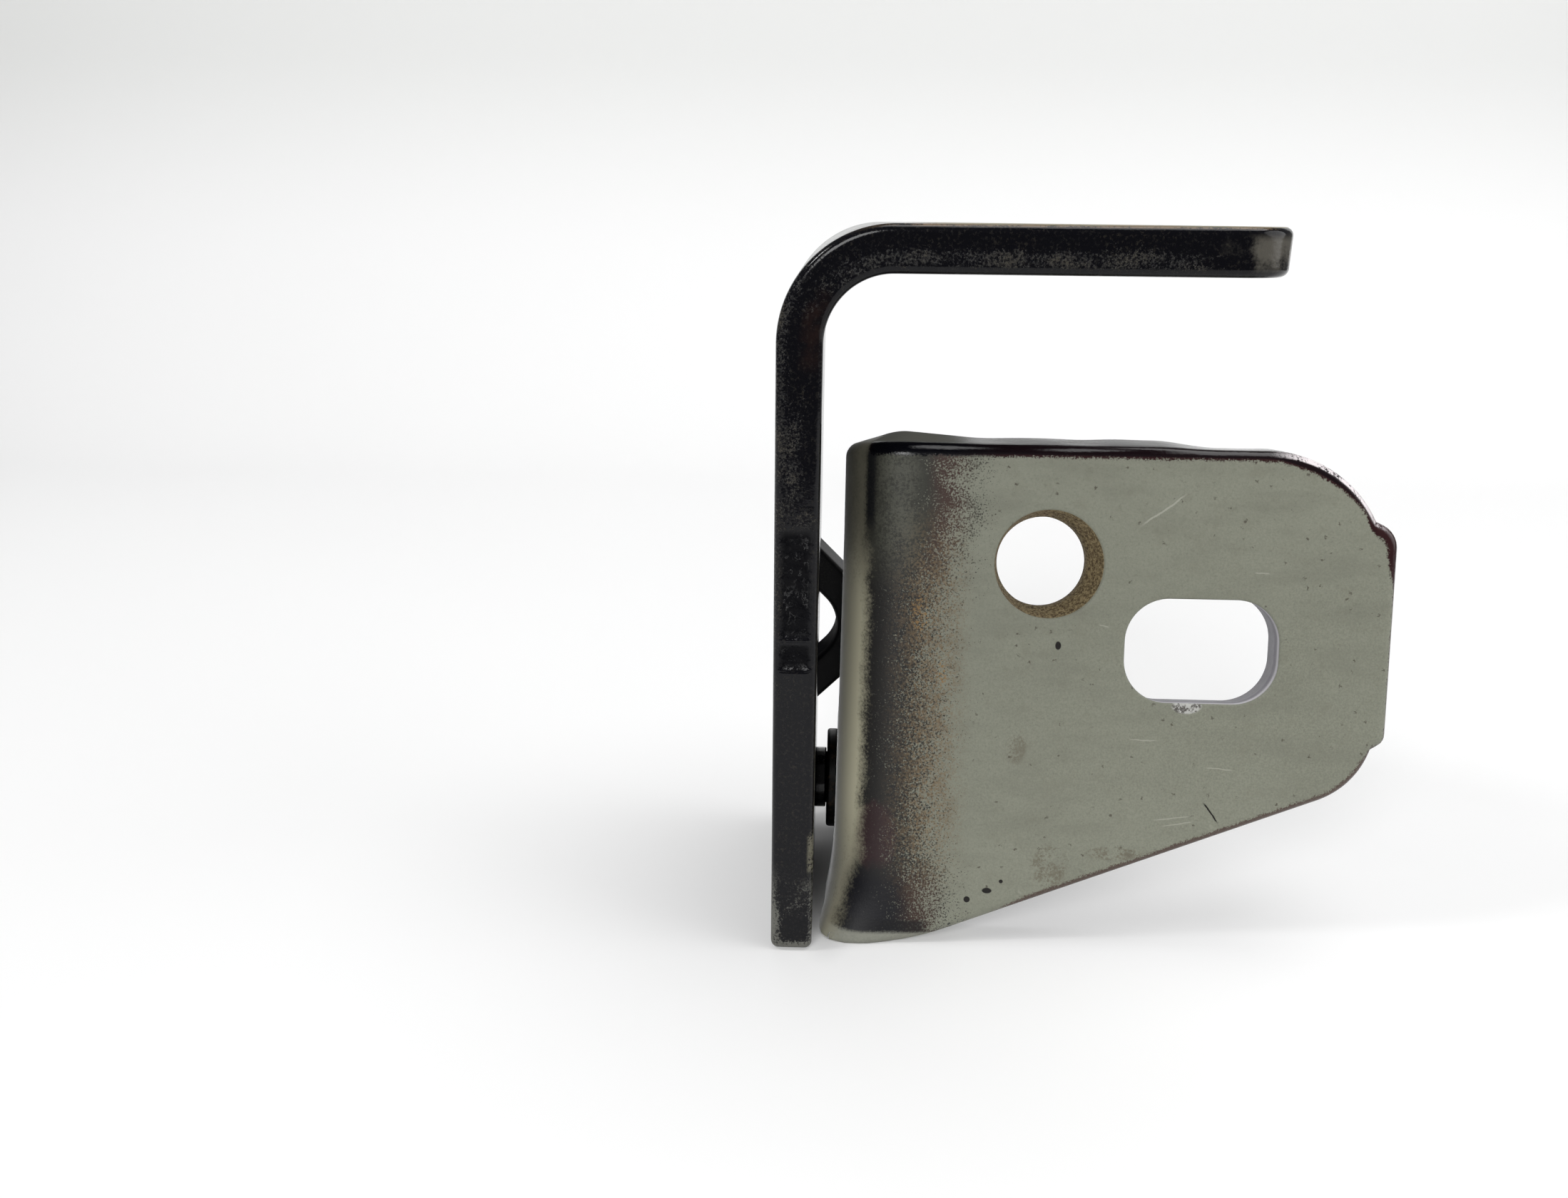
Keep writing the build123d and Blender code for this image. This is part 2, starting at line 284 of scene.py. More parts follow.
# The stop strip: its rounded section, carried along a V that starts and ends inside the web
STRIP_ROUND, STRIP_ROOT = 7.2, 2.0
strip_half = (LOOP_REACH + SHEET - LOOP_OPENING) / 2 / np.sqrt(2)
strip_nose = (LOOP_REACH + SHEET + LOOP_OPENING) / 2
nose_turn = np.linspace(-np.pi / 4, np.pi / 4, 25)
nose_x = strip_nose - STRIP_ROUND * np.sqrt(2)
nose = np.stack([nose_x + STRIP_ROUND * np.cos(nose_turn), STRIP_ROUND * np.sin(nose_turn)], 1)
upper_root = np.array([STRIP_ROOT, strip_nose - STRIP_ROOT])
lower_root = upper_root * (1, -1)
along_leg = np.linspace(0, 1, 12)[:-1, None]
lower_leg = lower_root + (nose[0] - lower_root) * along_leg
upper_leg = (upper_root + (nose[-1] - upper_root) * along_leg)[::-1]
path = np.vstack([lower_leg, nose, upper_leg])
heading = np.gradient(path, axis=0)
heading /= np.linalg.norm(heading, axis=1, keepdims=True)
outward = np.stack([heading[:, 1], -heading[:, 0]], 1)
section = oblong(0.0, 0.0, 2 * strip_half, LOOP_WIDTH, LOOP_CORNER, 0.6)
strip_xz = path[:, None, :] + section[None, :, :1] * outward[:, None, :]
strip_y = np.broadcast_to(LOOP_Y + section[None, :, 1], strip_xz.shape[:2])
strip = np.stack([WEB_X + strip_xz[..., 0], strip_y, LOOP_Z + strip_xz[..., 1]], 2).reshape(-1, 3)
strip_faces = quads(len(path), len(section), closed_rows=False, closed_columns=True) + len(arm_points)


def and_strip(values, strip_value):
    """Values on the blank's points, followed by one value for all the strip's points."""
    return np.concatenate([values, np.full(len(strip), strip_value)])


def mesh_piece(name, points, faces, marks):
    """Object at the origin from points in millimetres: points that coincide become one, and faces turn
    outwards. marks are values to keep on the points, such as the distance from a rim."""
    points, keep, number = np.unique(np.round(points, 4), axis=0, return_index=True, return_inverse=True)
    number = number.ravel()
    joined = [list(dict.fromkeys(number[face].tolist())) for face in faces]
    mesh = bpy.data.meshes.new(name)
    mesh.from_pydata(points * MM, [], [face for face in joined if len(face) > 2])
    for mark, values in marks.items():
        kept = mesh.attributes.new(mark, "FLOAT", "POINT")
        kept.data.foreach_set("value", values[keep].astype(np.float32))
    work = bmesh.new()
    work.from_mesh(mesh)
    bmesh.ops.delete(work, geom=[point for point in work.verts if not point.link_faces], context="VERTS")
    bmesh.ops.recalc_face_normals(work, faces=work.faces)
    work.to_mesh(mesh)
    work.free()
    mesh.shade_smooth()
    piece = bpy.data.objects.new(name, mesh)
    bpy.context.scene.collection.objects.link(piece)
    return piece


arm_leaf = mesh_piece(
    "arm_leaf_pressing",
    np.vstack([arm_points, strip]),
    arm_faces + list(strip_faces),
    {
        "up": and_strip(arm_s, loop_s),
        "through": and_strip(arm_depth, SHEET / 2),
        "behind": and_strip(arm_v - FRONT_Y, ARM_DEPTH / 2),
        "torn": and_strip(torn * on_edge, 0.0),
        "stop": and_strip(np.zeros(len(arm_s)), 1.0),
    },
)


class Signal:
    """A value that varies over a surface, in the finish that makes it. Arithmetic on it adds Math nodes."""

    def __init__(self, finish, socket):
        self.finish = finish
        self.socket = socket

    def math(self, operation, a, b):
        return self.finish.node("ShaderNodeMath", {"operation": operation}, {0: a, 1: b})

    def __add__(self, other):
        return self.math("ADD", self, other)

    def __sub__(self, other):
        return self.math("SUBTRACT", self, other)

    def __rsub__(self, other):
        return self.math("SUBTRACT", other, self)

    def __mul__(self, other):
        return self.math("MULTIPLY", self, other)

    def __truediv__(self, other):
        return self.math("DIVIDE", self, other)

    def __rtruediv__(self, other):
        return self.math("DIVIDE", other, self)

    __radd__ = __add__
    __rmul__ = __mul__

    def larger(self, *others):
        """The largest of this value and the others."""
        largest = self
        for other in others:
            largest = self.math("MAXIMUM", largest, other)
        return largest

    def eased(self, low, high):
        """0 below low, 1 above high and a smooth step between them. It falls where low is above high."""
        if low > high:
            return 1 - self.eased(high, low)
        settings = {"interpolation_type": "SMOOTHSTEP"}
        return self.finish.node("ShaderNodeMapRange", settings, {0: self, 1: low, 2: high})

    def window(self, low, high, soft):
        """1 between low and high and 0 outside, with smooth steps that are soft wide."""
        return self.eased(low - soft / 2, low + soft / 2) * self.eased(high + soft / 2, high - soft / 2)


class Finish:
    """A material in the making: patterns on object coordinates, sized in millimetres, and one surface."""

    def __init__(self, name):
        self.material = bpy.data.materials.new(name)
        self.material.use_nodes = True
        self.material.node_tree.nodes.clear()
        self.place = self.node("ShaderNodeTexCoord", output="Object")

    def node(self, kind, settings=None, sockets=None, output=0):
        """Any node: its settings first, then the values or links of its sockets, by name or number."""
        tree = self.material.node_tree
        node = tree.nodes.new(kind)
        for name, value in (settings or {}).items():
            setattr(node, name, value)
        for name, value in (sockets or {}).items():
            if isinstance(value, Signal):
                tree.links.new(value.socket, node.inputs[name])
            else:
                node.inputs[name].default_value = value
        return Signal(self, node.outputs[output]) if node.outputs else node

    def stretched(self, x, y, z):
        """Object coordinates, each direction scaled, so that a pattern is drawn out along the small ones."""
        return self.node("ShaderNodeMapping", {}, {"Vector": self.place, "Scale": (x, y, z)})

    def noise(self, size, detail=2.0, rough=0.5, place=None, seed=0.0):
        """Cloudy pattern from 0 to 1 with spots of about that size in millimetres."""
        sockets = {"Vector": place or self.place, "W": seed, "Scale": 1 / (size * MM)}
        sockets.update({"Detail": detail, "Roughness": rough})
        return self.node("ShaderNodeTexNoise", {"noise_dimensions": "4D"}, sockets)

    def spots(self, size):
        """Distance to scattered points that lie about one size apart: 0 in the middle of a spot."""
        return self.node("ShaderNodeTexVoronoi", {}, {"Vector": self.place, "Scale": 1 / (size * MM)})

    def mark(self, name):
        """A value kept on the piece's points."""
        return self.node("ShaderNodeAttribute", {"attribute_name": name}, output="Fac")

    def colour(self, share, under, over):
        """One colour over another, by its share. A Mix node takes colours on 6 and 7, and gives one on 2."""
        return self.node("ShaderNodeMix", {"data_type": "RGBA"}, {0: share, 6: under, 7: over}, 2)

    def surface(self, height, depth, layer=None, **sockets):
        """The finished surface: height, from 0 to 1, stands for depth millimetres of relief. A layer, given
        as its share and the sockets of its own shader, lies over it."""
        relief = {"Height": height, "Distance": depth * MM, "Strength": 1.0}
        values = {"Normal": self.node("ShaderNodeBump", {}, relief)}
        values.update({name.replace("_", " "): value for name, value in sockets.items()})
        shader = self.node("ShaderNodeBsdfPrincipled", {}, values)
        if layer:
            over = self.node("ShaderNodeBsdfPrincipled", {}, layer[1])
            shader = self.node("ShaderNodeMixShader", {}, {0: layer[0], 1: shader, 2: over})
        self.node("ShaderNodeOutputMaterial", {}, {"Surface": shader})
        return self.material


def srgb(red, green, blue):
    """A colour given as 0 to 255 display values, as the linear values that a shader takes."""
    shown = np.array([red, green, blue]) / 255
    return (*np.where(shown <= 0.04045, shown / 12.92, ((shown + 0.055) / 1.055) ** 2.4), 1.0)


def black_paint(finish, dust, tint):
    """Thick gloss black: colour, roughness and relief, with dust of that tint lying on it by its share."""
    colour = finish.colour(dust, srgb(8, 8, 13), tint)
    rough = 0.12 + dust * 0.6
    height = finish.noise(4.5, 2.0) * 0.8 + finish.noise(0.8, 3.0, 0.6) * 0.4
    return colour, rough, height


arm_finish = Finish("arm_gloss_black")
up = arm_finish.mark("up")
through = arm_finish.mark("through")
behind = arm_finish.mark("behind")
torn_share = arm_finish.mark("torn")
on_front = behind.eased(1.5, 0.8)
flecks = arm_finish.noise(0.26, 3.0, 0.65)
patches = arm_finish.noise(3.0, 3.0, 0.6)
clouds = arm_finish.noise(11.0, 3.0, 0.6)
# Dust lies in flecks, thickest along the outer side of the front edge and low on the flange's edge
outer_dust = through.eased(2.3, 0.5) * up.eased(20.0, 50.0) * up.eased(86.0, 76.0) * 0.5
high_dust = up.window(54.5, 68.0, 6.0) * through.eased(4.4, 2.0) * 0.42
band_dust = up.window(52.9, 55.3, 0.6) * 0.4
flange_dust = up.window(80.0, 121.0, 8.0) * through.window(2.4, 4.6, 1.6) * 0.5
fold_dust = up.window(76.0, 88.0, 6.0) * through.window(1.5, 4.0, 2.0) * 0.32
lying = outer_dust.larger(high_dust, band_dust, flange_dust, fold_dust)
settled = (flecks + (patches - 0.5) * 0.35 + lying * 0.5 - 0.74).eased(-0.06, 0.2)
fine = arm_finish.noise(0.4, 2.0, 0.7, seed=7.0).eased(0.5, 0.72)
edge_dust = (settled * 0.42).larger(fine * 0.16) * on_front * (1 - torn_share * 0.8)
face_dust = ((flecks - 0.5) * 1.2 + clouds).eased(0.5, 0.95) * (1 - on_front) * 0.3
dust_tint = arm_finish.colour(patches.eased(0.35, 0.65), srgb(66, 65, 61), srgb(92, 87, 74))
arm_colour, arm_rough, arm_height = black_paint(arm_finish, edge_dust.larger(face_dust), dust_tint)
rusty = up.window(71.0, 79.0, 3.0) * through.window(2.6, 4.6, 1.2) * on_front * patches.eased(0.3, 0.6)
arm_colour = arm_finish.colour(rusty * 0.5, arm_colour, srgb(42, 27, 22))
# The foot is scuffed pale, most along its outer and lower sides, round a bare black blot
low_side = up.eased(2.6, 0.4).larger(through.eased(1.3, 0.2), through.eased(4.2, 4.8) * 0.5)
blot = up.window(1.6, 4.4, 1.2) * through.window(1.6, 4.2, 1.2)
scuff = (patches - 0.5) * 1.3 + (flecks - 0.5) * 2.4 + low_side * 0.55 - blot * 0.8
scuff = up.eased(12.5, 5.0) * scuff.eased(0.05, 0.6) * on_front
arm_colour = arm_finish.colour(scuff * 0.85, arm_colour, srgb(112, 112, 105))
# Painted glints: grey colour on ridges in the torn patches stands in for their highlights; the patches are
# full of fissures
ridge_glints = arm_finish.noise(1.3, 4.0, 0.75, arm_finish.stretched(1.0, 1.0, 0.7), 11.0)
ridge_glints = ridge_glints.window(0.55, 0.59, 0.03) * patches.eased(0.42, 0.54) * torn_share.eased(0.5, 0.9)
arm_colour = arm_finish.colour(ridge_glints * 0.5, arm_colour, srgb(92, 92, 92))
# Painted shade: a dull black layer that reflects little lies over the rest of the torn patches, for their
# shaded recesses
torn_shade_share = torn_share * (0.85 - ridge_glints * 0.5)
torn_shade_layer = {"Base Color": srgb(9, 9, 12), "Roughness": 0.4, "Specular IOR Level": 0.05}
# A chip above the foot. At the flange's end, pale colour broken up by drips of paint is a painted reflection
chip = up.window(11.0, 16.2, 1.2) * through.eased(4.1, 4.6) * on_front * (flecks + patches).eased(0.85, 1.05)
arm_colour = arm_finish.colour(chip * 0.7, arm_colour, srgb(122, 119, 102))
# Painted reflection: pale colour on the flange's end, in streaks, less on its back part and paler at its far
# end
end_streaks = (patches - 0.5) * 1.6 + (flecks - 0.5) * 0.6 - through.eased(2.2, 3.8) * 0.35
end_streaks = (end_streaks + up.eased(123.0, 126.0) * 0.4).eased(-0.2, 0.35)
painted_end_reflection = up.eased(120.5, 124.5) * through.window(1.0, 4.2, 1.0) * end_streaks
arm_colour = arm_finish.colour(painted_end_reflection * 0.45, arm_colour, srgb(126, 122, 112))
# The mounting face on top of the flange is primed, with a dusty line along its front
primed = through.eased(0.12, 0.03) * up.eased(90.0, 96.0)
primer_dust = (flecks + clouds).eased(0.85, 1.15)
arm_primer = arm_finish.colour(primer_dust, srgb(128, 128, 112), srgb(150, 140, 118))
arm_colour = arm_finish.colour(primed, arm_colour, arm_primer)
top_line = through.eased(0.35, 0.12) * up.eased(84.0, 92.0) * on_front * (flecks + patches).eased(0.8, 1.1)
arm_colour = arm_finish.colour(top_line * 0.8, arm_colour, srgb(122, 104, 84))
arm_rough = arm_rough + scuff.larger(primed, chip) * 0.4 + arm_finish.mark("stop") * 0.35
arm_height = arm_height + torn_share * arm_finish.noise(1.1, 3.0, 0.6) * 9.0 + settled * on_front * 0.5
arm_leaf.data.materials.append(
    arm_finish.surface(
        arm_height,
        0.06,
        (torn_shade_share, torn_shade_layer),
        Base_Color=arm_colour,
        Roughness=arm_rough,
        Specular_IOR_Level=0.22,
    )
)
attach(arm_leaf, "arm")
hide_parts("arm_leaf")


# Plate leaf: the same 5 mm sheet, blanked with a round bolt hole and a slot, and bent back into an ear.
# Its mounting face kept the olive-grey primer. The rim, the ear and the back are gloss black, and the
# spray faded out over the bend, where brown and grey dust lies on it.

LEAN = np.radians(12.0)
PLATE_UP = np.array([0.0, np.sin(LEAN), np.cos(LEAN)])
PLATE_BACK = np.array([0.0, np.cos(LEAN), -np.sin(LEAN)])
PLATE_CORNER = np.array([WEB_X, FRONT_Y + 2.3, FOOT_Z + 0.5])
EAR_X = 8.0
PLATE_BEND = 3.0
PLATE_OUTER = PLATE_BEND + SHEET
PLATE_MIDDLE = PLATE_BEND + SHEET / 2
PLATE_ARC = PLATE_MIDDLE * np.pi / 2
PLATE_TOP, PLATE_FOOT, PLATE_END = 60.9, 0.1, 72.4
SLOPE_START, SLOPE_TOP = 18.1, 21.4
LAND_PROUD, LAND_LOW, LAND_HIGH = 1.2, 25.6, 52.9
LAND_LOW_ROUND, LAND_HIGH_ROUND = 1.7, 3.2
LIP_DEPTH, EAR_DEPTH, EAR_TOP, EAR_LOW = 9.5, 29.8, 26.8, 6.5
EYE_RADIUS = 4.5
FACE_START = EAR_X + PLATE_OUTER
EAR_START = -PLATE_ARC + PLATE_OUTER
HOLE_S, HOLE_V, HOLE_RADIUS, HOLE_FLARE = 32.1 - FACE_START, 47.2, 5.5, 1.0
SLOT_S, SLOT_V = 51.05 - FACE_START, 36.95
SLOT_LENGTH, SLOT_WIDTH, SLOT_CORNER = 18.3, 12.6, 5.2

# Up the slope to the land's end, along the top to the lip, round the ear, and back under the bend
plate_outline = rounded_outline(
    [
        (SLOPE_START - FACE_START, PLATE_FOOT, 36.0),
        (PLATE_END - FACE_START, SLOPE_TOP, 10.0),
        (PLATE_END - FACE_START, PLATE_TOP, 14.2),
        (EAR_START - LIP_DEPTH, PLATE_TOP, 2.0),
        (EAR_START - LIP_DEPTH, EAR_TOP, 5.0),
        (EAR_START - EAR_DEPTH, EAR_TOP, 10.0),
        (EAR_START - EAR_DEPTH, EAR_LOW, 8.0),
        (-14.0, 1.2, 3.0),
        (-8.0, -0.1, 2.0),
        (-4.8, PLATE_FOOT - 1.1, 0.5),
    ],
    0.4,
)
# The land that the shears left at the end: the outline is pushed out to a bar with rounded ends
land_half = (LAND_HIGH - LAND_LOW) / 2
off_middle = plate_outline[:, 1] - (LAND_LOW + LAND_HIGH) / 2
off_end = np.abs(off_middle)
land_round = np.where(off_middle > 0, LAND_HIGH_ROUND, LAND_LOW_ROUND)
into_round = np.clip(off_end - (land_half - land_round), 0, land_round)
land = PLATE_END + LAND_PROUD - land_round + np.sqrt(land_round**2 - into_round**2) - FACE_START
on_land = (plate_outline[:, 0] > 45.0) & (off_end < land_half)
plate_outline[:, 0] = np.where(on_land, np.maximum(plate_outline[:, 0], land), plate_outline[:, 0])

slot_outline = oblong(SLOT_S, SLOT_V, SLOT_LENGTH, SLOT_WIDTH, SLOT_CORNER, 0.4)
# The punched hole: rounded at the face, torn narrower to 3 mm down, then straight
punched_rim = np.array(
    [
        (0.6, 0.0),
        (0.25, 0.0),
        (0.07, 0.07),
        (0.0, 0.25),
        (-0.35, 1.2),
        (-0.75, 2.2),
        (-HOLE_FLARE, 3.0),
        (-HOLE_FLARE, 4.0),
        (-HOLE_FLARE, 4.8),
        (-0.94, 4.94),
        (-0.8, SHEET),
        (0.0, SHEET),
    ]
)
pivot_offset = np.array([PIVOT_Y, PIVOT_Z]) - PLATE_CORNER[1:]
eye_s = EAR_START - pivot_offset @ PLATE_BACK[1:]
eye_v = pivot_offset @ PLATE_UP[1:]
plate_rims = [
    (plate_outline, rim_profile(1.1, 0.5, wall_rows=10)),
    (ring(HOLE_S, HOLE_V, HOLE_RADIUS + HOLE_FLARE, 96), punched_rim),
    (slot_outline, rim_profile(0.3, 0.3, -0.35)),
    (ring(eye_s, eye_v, EYE_RADIUS), rim_profile(0.3, 0.3)),
]
plate_blank, plate_faces = pressed_sheet(plate_rims, (0.9, 1.4))
from_rim = nearest(plate_blank[:, :2], [plate_outline])
from_hole = np.hypot(plate_blank[:, 0] - HOLE_S, plate_blank[:, 1] - HOLE_V)
from_hole = np.abs(from_hole - HOLE_RADIUS - HOLE_FLARE)
# The punch broke out off centre, so the hole's mouth lies to one side of its throat
mouth = np.clip(1 - plate_blank[:, 2] / 3.0, 0, 1) * window(from_hole, -1.0, 1.1, 0.6)
plate_blank = plate_blank + np.outer(mouth, (0.42, -0.1, 0.0))
plate_s, plate_v, plate_depth = plate_blank.T
# The top wall leans back, and bending squeezed the inner side out above it
lean_share = window(plate_s, -14.0, 33.0, 8.0) * 0.6 + window(plate_s, -12.0, 48.0, 9.0) * 0.4
leaning = 1.4 * (plate_depth / SHEET) ** 0.8 * lean_share
bulge = 0.7 * (plate_depth / SHEET) ** 1.3 * np.exp(-(((plate_s + 1.5) / 5.5) ** 2))
wavy = 0.12 * ripple(plate_blank, 9.0, 8) * window(plate_depth, 1.5, 9.0, 2.0)
near_top = np.clip((plate_v - PLATE_TOP + 5.0) / 5.0, 0, 1) ** 2
# The foot of the bend splays outwards, most at its corner
splay = 1.5 * np.clip((12.0 - plate_v) / 12.0, 0, 1) ** 2 + 0.35 * np.clip((50.0 - plate_v) / 40.0, 0, 1)
splay *= np.clip((-plate_s - 0.5) / 5.0, 0, 1) * np.clip((plate_s + 22.0) / 8.0, 0, 1)
splay += 2.0 * np.exp(-(((plate_s + 4.9) / 2.3) ** 2)) * np.clip((7.0 - plate_v) / 7.0, 0, 1) ** 1.5
plate_shaped = plate_blank + np.stack([0 * bulge, (leaning + bulge + wavy) * near_top, -splay], 1)


def plate_bent(points):
    """Blank to leaf: s is 0 where the flat face meets the bend, positive out along the face and negative
    round the bend and back along the ear. Depth goes in from the face, and turns with it in the bend."""
    s, v, depth = points.T
    turn = np.clip(-s / PLATE_MIDDLE, 0, np.pi / 2)
    radius = PLATE_OUTER - depth
    across = EAR_X + PLATE_OUTER - radius * np.sin(turn) + np.maximum(s, 0)
    back = PLATE_OUTER - radius * np.cos(turn) + np.maximum(-s - PLATE_ARC, 0)
    leaf = PLATE_CORNER + np.outer(across, (1, 0, 0)) + np.outer(v, PLATE_UP) + np.outer(back, PLATE_BACK)
    return np.maximum(leaf, (-np.inf, -np.inf, FOOT_Z))


plate_leaf = mesh_piece(
    "plate_leaf_pressing",
    plate_bent(plate_shaped),
    plate_faces,
    {
        "rim": from_rim,
        "depth": plate_depth,
        "across": plate_s,
        "rise": plate_v,
        "round_hole": from_hole,
        "slot": nearest(plate_blank[:, :2], [slot_outline]),
    },
)

plate_finish = Finish("plate_primer_and_spray")
across = plate_finish.mark("across")
rise = plate_finish.mark("rise")
depth = plate_finish.mark("depth")
rim = plate_finish.mark("rim")
grain = plate_finish.noise(0.22, 2.0, 0.6)
mottle = plate_finish.noise(2.2, 3.0, 0.6)
cloud = plate_finish.noise(9.0, 3.0, 0.55)
fibres = plate_finish.noise(0.32, 4.0, 0.7)


def spot(place_across, place_rise, half_across, half_rise):
    """1 in an oval round a place on the plate's face, fading to 0 at its border."""
    a = (across - place_across) / half_across
    b = (rise - place_rise) / half_rise
    return (a * a + b * b + (mottle - 0.5) * 1.2).eased(1.0, 0.45)


def stroke(start, end, width):
    """1 along a wavering line between two places on the face, fading towards both its ends."""
    run = np.subtract(end, start)
    length = np.hypot(*run)
    run = run / length
    along = (across - start[0]) * run[0] + (rise - start[1]) * run[1]
    off = (across - start[0]) * run[1] - (rise - start[1]) * run[0] + (mottle - 0.5) * 0.5
    near_line = (off * off).eased(width * width, width * width * 0.15)
    return near_line * along.window(0.0, length, length * 0.3)


# Primer, clouded and wiped, with fine dark specks
# The primer is lighter towards the top and towards the bend
drift = cloud * 0.5 + rise.eased(30.0, 58.0) * 0.3 + across.eased(52.0, 8.0) * 0.2
primer = plate_finish.colour(drift, srgb(117, 119, 106), srgb(139, 141, 127))
primer = plate_finish.colour(grain.eased(0.35, 0.65) * 0.5, primer, srgb(144, 146, 131))
primer = plate_finish.colour(fibres.eased(0.5, 0.72) * 0.45, primer, srgb(104, 103, 91))
primer = plate_finish.colour(mottle.eased(0.5, 0.75) * 0.35, primer, srgb(118, 117, 103))
wiped = plate_finish.noise(5.0, 4.0, 0.6, plate_finish.stretched(0.45, 1.0, 1.6), 2.0)
primer = plate_finish.colour(wiped.eased(0.42, 0.7) * 0.4, primer, srgb(114, 115, 103))
specks = (plate_finish.spots(1.6) + grain * 0.5).eased(0.4, 0.3) * (mottle + cloud * 0.5).eased(0.66, 0.8)
primer = plate_finish.colour(specks * 0.75, primer, srgb(66, 59, 50))

# Stains, scratches, pits, one deep cut and one flaked burr, at their places across and up the face
LONG_SCRATCH = ((27.5, 52.1), (32.0, 55.5))
SHORT_SCRATCHES = (
    ((27.1, 26.0), (30.1, 26.0)),
    ((36.3, 22.8), (39.3, 22.6)),
    ((30.5, 16.2), (34.4, 16.7)),
    ((31.5, 15.4), (34.9, 16.1)),
    ((22.7, 39.9), (23.8, 39.7)),
    ((40.9, 46.6), (42.5, 46.5)),
)
stains = spot(17.9, 9.9, 2.6, 3.2).larger(spot(25.7, 11.8, 4.0, 1.0), spot(13.4, 24.8, 1.5, 2.6) * 0.8)
stains = stains * (fibres + (mottle - 0.5)).eased(0.42, 0.62)
primer = plate_finish.colour(stains * 0.5, primer, srgb(88, 76, 60))
scratches = stroke(*LONG_SCRATCH, 0.14).larger(*[stroke(*line, 0.09) * 0.7 for line in SHORT_SCRATCHES])
primer = plate_finish.colour(scratches * 0.6, primer, srgb(176, 176, 164))
pits = spot(8.0, 5.5, 0.4, 0.4).larger(spot(10.4, 6.7, 0.7, 0.4), spot(12.1, 7.9, 0.3, 0.3))
pits = pits.larger(spot(17.9, 37.3, 0.4, 0.6))
deep_cut = stroke((36.3, 18.3), (37.9, 16.2), 0.12)
primer = plate_finish.colour(pits.larger(deep_cut) * 1.3, primer, srgb(24, 21, 19))
burr = spot(33.6, 30.3, 1.9, 1.0)
flaked = (fibres + (mottle - 0.5) * 0.8).eased(0.34, 0.46)
burr_colour = plate_finish.colour(flaked, srgb(84, 80, 78), srgb(188, 188, 184))
primer = plate_finish.colour(burr * 0.9, primer, burr_colour)

# Overspray: dense on the bend and speckled out over the face, furthest at its top and foot
spray_reach = 2.4 + rise.eased(38.0, 55.0) * 3.4 + rise.eased(13.0, 3.0) * 1.2 + (cloud - 0.5) * 3.0
density = (spray_reach - across) / 10.5 + 0.5
sprayed = (density + (grain - 0.5) * 2.4 + (mottle - 0.5) * 0.7).eased(0.25, 0.75)
high = rise.eased(42.0, 52.0)
low = rise.eased(10.5, 6.5)
spray = plate_finish.colour(high, srgb(37, 36, 35), srgb(54, 54, 48))
spray = plate_finish.colour(low, spray, srgb(20, 20, 25))
fringe = (across - spray_reach).window(-3.2, 1.0, 2.6)
spray = plate_finish.colour(fringe * high * 0.85, spray, srgb(66, 46, 41))
spray = plate_finish.colour(fringe * low * 0.8, spray, srgb(66, 49, 42))
reddish = spot(-2.5, 13.0, 2.2, 5.0)
spray = plate_finish.colour(reddish * 0.6, spray, srgb(58, 37, 40))
colour = plate_finish.colour(sprayed, primer, spray)

# Dust: brown on the middle of the bend, grey at its top, rusty in places, pale on its outer side
brown_zone = across.window(-0.4, 6.0, 4.5) * rise.window(9.0, 50.0, 12.0)
brown = brown_zone * (fibres + (mottle - 0.5) * 0.4).eased(0.4, 0.62)
colour = plate_finish.colour(brown * 0.66, colour, srgb(116, 101, 80))
top_dust = high * across.window(-3.0, 0.6, 2.5) * (fibres + (mottle - 0.5) * 0.5).eased(0.36, 0.62)
colour = plate_finish.colour(top_dust * 0.45, colour, srgb(106, 107, 95))
rusty_zone = spot(1.3, 40.8, 1.4, 2.6).larger(spot(4.1, 33.6, 0.8, 1.8), brown_zone * 0.2)
colour = plate_finish.colour(rusty_zone * fibres.eased(0.5, 0.58) * 0.6, colour, srgb(150, 116, 68))
stripe = (across + (fibres - 0.5) * 0.8).window(-4.2, -3.2, 0.6) * rise.eased(48.0, 53.0)
colour = plate_finish.colour(stripe * (0.6 + grain * 0.6), colour, srgb(17, 18, 22))
outer_side = (across + (fibres - 0.5) * 2.4 + (mottle - 0.5) * 1.6 + low * 0.9).eased(-3.1, -5.0)
pale = 0.5 + rise.eased(54.0, 42.0) * 0.5 + rise.window(14.0, 44.0, 10.0) * 0.25
pale = pale * outer_side * (1 - stripe) * across.eased(-20.0, -10.0)
pale = pale * (0.4 + fibres * 1.2 + (mottle - 0.5) * 0.6)
pale_tint = plate_finish.colour(rise.window(13.0, 46.0, 12.0), srgb(148, 144, 124), srgb(186, 182, 157))
pale_dust = {"Base Color": pale_tint, "Roughness": 0.9, "Specular IOR Level": 0.1}
pale_dust.update({"Sheen Weight": 1.0, "Sheen Roughness": 0.4})

